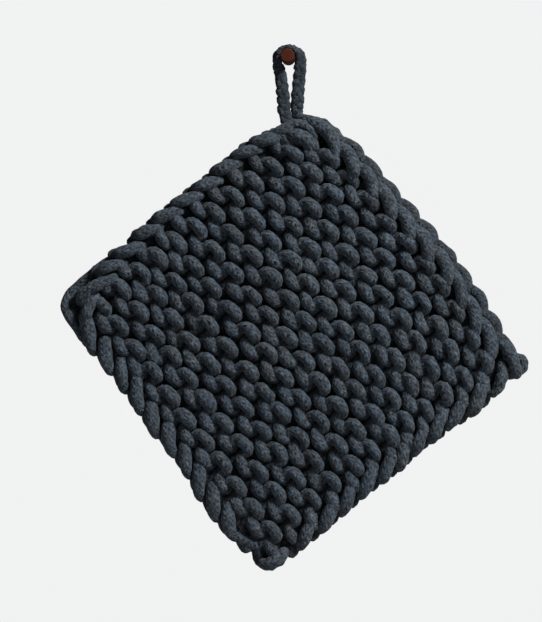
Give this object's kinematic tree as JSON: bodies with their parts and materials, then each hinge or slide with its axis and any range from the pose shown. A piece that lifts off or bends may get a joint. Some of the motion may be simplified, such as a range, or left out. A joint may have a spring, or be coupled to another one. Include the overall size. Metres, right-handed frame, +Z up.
{
  "type": "pot holder on a peg",
  "caption": "Square hand-knitted pot holder in thick cotton cord, hung corner up by a finer plaited loop on a round wooden wall peg.",
  "frame": {"origin": "centre of the peg's back face, where the peg meets the wall", "axes": "+Z up, +Y into the wall along the peg, +X to the right of someone who faces the wall"},
  "size_m": [0.2771, 0.028, 0.3227],
  "materials": {
    "knit_yarn": "matte slate-grey cotton cord, soft and faintly heathered, in garter stitch",
    "loop_cord": "matte slate-grey cotton in a finer flat plait",
    "peg_wood": "dark red-brown stained hardwood, satin, end grain on the front face"
  },
  "bodies": {
    "root": {"knit_square": "knit_yarn", "hanging_loop": "loop_cord", "peg": "peg_wood"}
  },
  "joints": []
}
